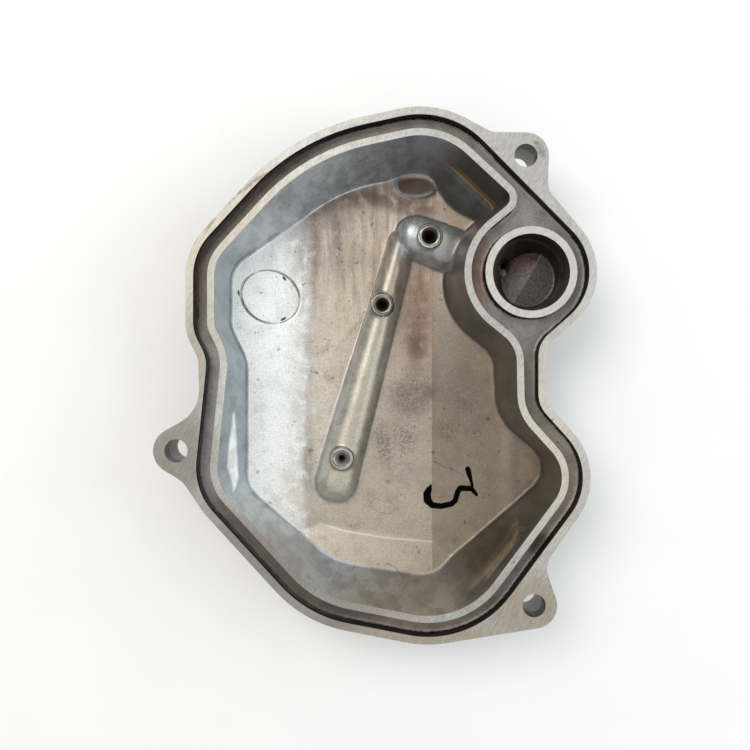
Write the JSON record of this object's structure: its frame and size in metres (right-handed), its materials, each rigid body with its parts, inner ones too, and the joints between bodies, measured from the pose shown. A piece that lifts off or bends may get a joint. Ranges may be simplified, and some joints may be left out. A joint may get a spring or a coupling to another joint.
{
  "type": "valve cover",
  "caption": "Cast aluminium valve cover with a machined sealing rim, gasket groove, bolt ears, a bored boss and an oil rail with nozzles on the pan floor.",
  "frame": {"origin": "bottom centre of the cover's bounding box, on the surface that it lies on", "axes": "+Z out of the open side, square to the mating face; +Y along the long side, towards the wide rounded end with the upper ear; +X towards the bore"},
  "size_m": [0.1332, 0.1614, 0.0292],
  "materials": {
    "cast_aluminium": "as cast, with machined lands"
  },
  "bodies": {
    "root": {"valve_cover": "cast_aluminium"}
  },
  "joints": []
}
